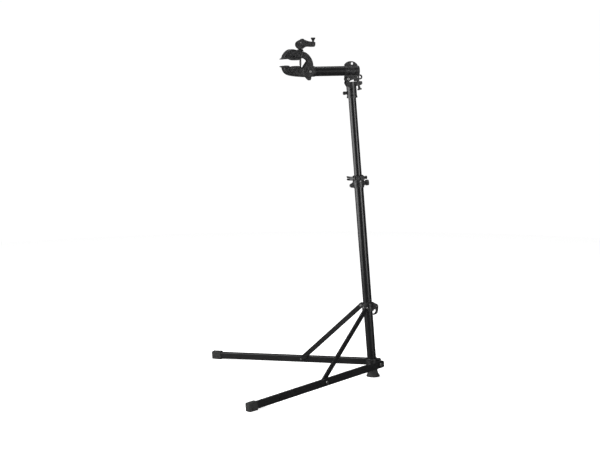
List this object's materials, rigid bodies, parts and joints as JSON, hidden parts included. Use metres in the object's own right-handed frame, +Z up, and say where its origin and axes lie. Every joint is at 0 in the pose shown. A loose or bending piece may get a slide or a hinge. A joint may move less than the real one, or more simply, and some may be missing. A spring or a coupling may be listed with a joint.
{
  "type": "bike repair stand",
  "caption": "Folding bike repair stand: leaning telescopic mast, two folding legs with struts, and a cam-lever clamp on a folding arm.",
  "frame": {"origin": "centre of the mast foot's underside, on the floor", "axes": "+Z up; the legs and the arm reach towards -X; the left leg is on the -Y side"},
  "size_m": [0.6691, 0.9908, 1.4272],
  "materials": {
    "tube_black": "satin black powder coat on tube",
    "casting_black": "fine-textured black coat on castings",
    "bright_steel": "bright plated steel fasteners",
    "black_steel": "black oxide steel",
    "rubber_black": "matt black moulded rubber",
    "jaw_pad": "firm black jaw cover",
    "plastic_black": "moulded black nylon"
  },
  "bodies": {
    "base": {"lower_mast_tube": "tube_black", "mast_foot": "rubber_black", "base_bracket": "casting_black", "leg_pivot_bolts": "bright_steel", "mid_clamp_body": "casting_black", "mid_clamp_bush": "plastic_black", "mid_clamp_skewer": "black_steel", "mid_clamp_nut": "black_steel", "mid_clamp_screw": "bright_steel", "mid_lever_pin": "bright_steel"},
    "leg_right": {"leg_tube_right": "tube_black", "leg_plug_right": "plastic_black", "leg_cap_right": "rubber_black", "strut_pin_right": "bright_steel"},
    "leg_left": {"leg_tube_left": "tube_black", "leg_plug_left": "plastic_black", "leg_cap_left": "rubber_black", "strut_pin_left": "bright_steel"},
    "strut_right": {"strut_right": "tube_black", "strut_bolt_right": "bright_steel"},
    "strut_left": {"strut_left": "tube_black", "strut_bolt_left": "bright_steel"},
    "collar": {"leg_collar": "casting_black", "collar_bush": "plastic_black", "strut_nuts": "bright_steel", "collar_lever_pin": "bright_steel"},
    "collar_lever": {"collar_lever": "casting_black"},
    "mid_lever": {"mid_clamp_lever": "casting_black"},
    "height_knob": {"height_lock_knob": "plastic_black"},
    "mast_slider": {"upper_tube_bush": "plastic_black"},
    "upper_mast": {"upper_mast_tube": "tube_black", "head_socket": "casting_black", "arm_rest_bumper": "rubber_black", "tilt_hinge_bolt": "bright_steel"},
    "arm_head": {"arm_head": "casting_black", "swing_bolt_pin": "bright_steel"},
    "swing_bolt": {"swing_bolt": "black_steel"},
    "tilt_knob": {"tilt_lock_knob": "plastic_black"},
    "arm": {"arm_tube": "tube_black", "clamp_frame": "casting_black", "upper_jaw_pad": "jaw_pad", "jaw_pivot_pin": "bright_steel"},
    "lower_jaw": {"lower_jaw": "casting_black", "lower_jaw_pad": "jaw_pad"},
    "barrel_nut": {"rod_barrel_nut": "black_steel"},
    "trigger": {"release_trigger": "plastic_black"},
    "crank": {"clamp_rod": "black_steel", "cam_washer": "casting_black"},
    "cam_lever": {"cam_lever": "casting_black", "cam_pin": "bright_steel"},
    "tip_knob": {"lever_tip_knob": "plastic_black"}
  },
  "joints": [
    {"name": "leg_right_fold", "type": "hinge", "parent": "base", "child": "leg_right", "pos_m": [0.0178, 0.03224, 0.05584], "axis": [0.5773, 0.8151, 0.0473], "range_deg": [0, 88.5]},
    {"name": "leg_left_fold", "type": "hinge", "parent": "base", "child": "leg_left", "pos_m": [0.0178, -0.03224, 0.05584], "axis": [-0.5773, 0.8151, -0.0473], "range_deg": [0, 88.5]},
    {"name": "strut_right_turn", "type": "hinge", "parent": "leg_right", "child": "strut_right", "pos_m": [-0.26792, 0.21802, 0.0375], "axis": [0.5773, 0.8151, 0.0473], "range_deg": [-145.6, 0]},
    {"name": "strut_left_turn", "type": "hinge", "parent": "leg_left", "child": "strut_left", "pos_m": [-0.26792, -0.21802, 0.0375], "axis": [-0.5773, 0.8151, -0.0473], "range_deg": [-145.6, 0]},
    {"name": "collar_slide", "type": "slide", "parent": "base", "child": "collar", "axis": [-0.0816, 0, 0.9967], "range_m": [0, 0.4774]},
    {"name": "collar_lever_flip", "type": "hinge", "parent": "collar", "child": "collar_lever", "pos_m": [0.01276, 0, 0.30375], "axis": [0, -1, 0], "range_deg": [0, 100]},
    {"name": "mid_lever_flip", "type": "hinge", "parent": "base", "child": "mid_lever", "pos_m": [-0.09393, -0.029, 0.84716], "axis": [-0.0816, 0, 0.9967], "range_deg": [0, 100]},
    {"name": "height_knob_turn", "type": "hinge", "parent": "base", "child": "height_knob", "pos_m": [-0.06747, 0, 0.82424], "axis": [0.9967, 0, 0.0816], "continuous": true},
    {"name": "mast_slide", "type": "slide", "parent": "base", "child": "mast_slider", "axis": [-0.0816, 0, 0.9967], "range_m": [-0.28, 0.15]},
    {"name": "mast_swivel", "type": "hinge", "parent": "mast_slider", "child": "upper_mast", "pos_m": [-0.08159, 0, 0.99667], "axis": [-0.0816, 0, 0.9967], "continuous": true},
    {"name": "arm_tilt", "type": "hinge", "parent": "upper_mast", "child": "arm_head", "pos_m": [-0.11743, 0, 1.25791], "axis": [0, -1, 0], "range_deg": [0, 75]},
    {"name": "swing_bolt_swing", "type": "hinge", "parent": "arm_head", "child": "swing_bolt", "pos_m": [-0.07655, 0, 1.26598], "axis": [0, -1, 0], "range_deg": [0, 91]},
    {"name": "tilt_knob_turn", "type": "hinge", "parent": "swing_bolt", "child": "tilt_knob", "pos_m": [-0.07655, 0, 1.26598], "axis": [0.2195, 0, -0.9756], "continuous": true},
    {"name": "arm_turn", "type": "hinge", "parent": "arm_head", "child": "arm", "pos_m": [-0.10572, 0, 1.29148], "axis": [-0.9999, 0, -0.0166], "range_deg": [-90, 90]},
    {"name": "jaw_open", "type": "hinge", "parent": "arm", "child": "lower_jaw", "pos_m": [-0.2787, 0, 1.28861], "axis": [0, -1, 0], "range_deg": [0, 30.2]},
    {"name": "barrel_nut_turn", "type": "hinge", "parent": "lower_jaw", "child": "barrel_nut", "pos_m": [-0.31485, 0, 1.29741], "axis": [0, -1, 0], "range_deg": [-30.2, 0]},
    {"name": "trigger_press", "type": "hinge", "parent": "arm", "child": "trigger", "pos_m": [-0.2787, 0, 1.28861], "axis": [0, -1, 0], "range_deg": [0, 10], "stiffness_Nm_per_rad": 0.5},
    {"name": "crank_turn", "type": "hinge", "parent": "arm", "child": "crank", "pos_m": [-0.3147, 0, 1.28801], "axis": [-0.0166, 0, 0.9999], "range_deg": [0, 3373]},
    {"name": "cam_lever_flip", "type": "hinge", "parent": "crank", "child": "cam_lever", "pos_m": [-0.31664, 0, 1.405], "axis": [0, -1, 0], "range_deg": [0, 90]},
    {"name": "tip_knob_turn", "type": "hinge", "parent": "cam_lever", "child": "tip_knob", "pos_m": [-0.2602, 0, 1.28892], "axis": [-0.0166, 0, 0.9999], "continuous": true}
  ],
  "couplings": [
    {"joint": "leg_left_fold", "follows": "leg_right_fold", "ratio": 1},
    {"joint": "strut_right_turn", "follows": "leg_right_fold", "ratio": -1.6335},
    {"joint": "strut_left_turn", "follows": "leg_right_fold", "ratio": -1.6335},
    {"joint": "collar_slide", "follows": "leg_right_fold", "m_per_rad": 0.3084},
    {"joint": "swing_bolt_swing", "follows": "arm_tilt", "ratio": 1.2},
    {"joint": "jaw_open", "follows": "crank_turn", "ratio": 0.0088942},
    {"joint": "barrel_nut_turn", "follows": "crank_turn", "ratio": -0.0088942}
  ]
}
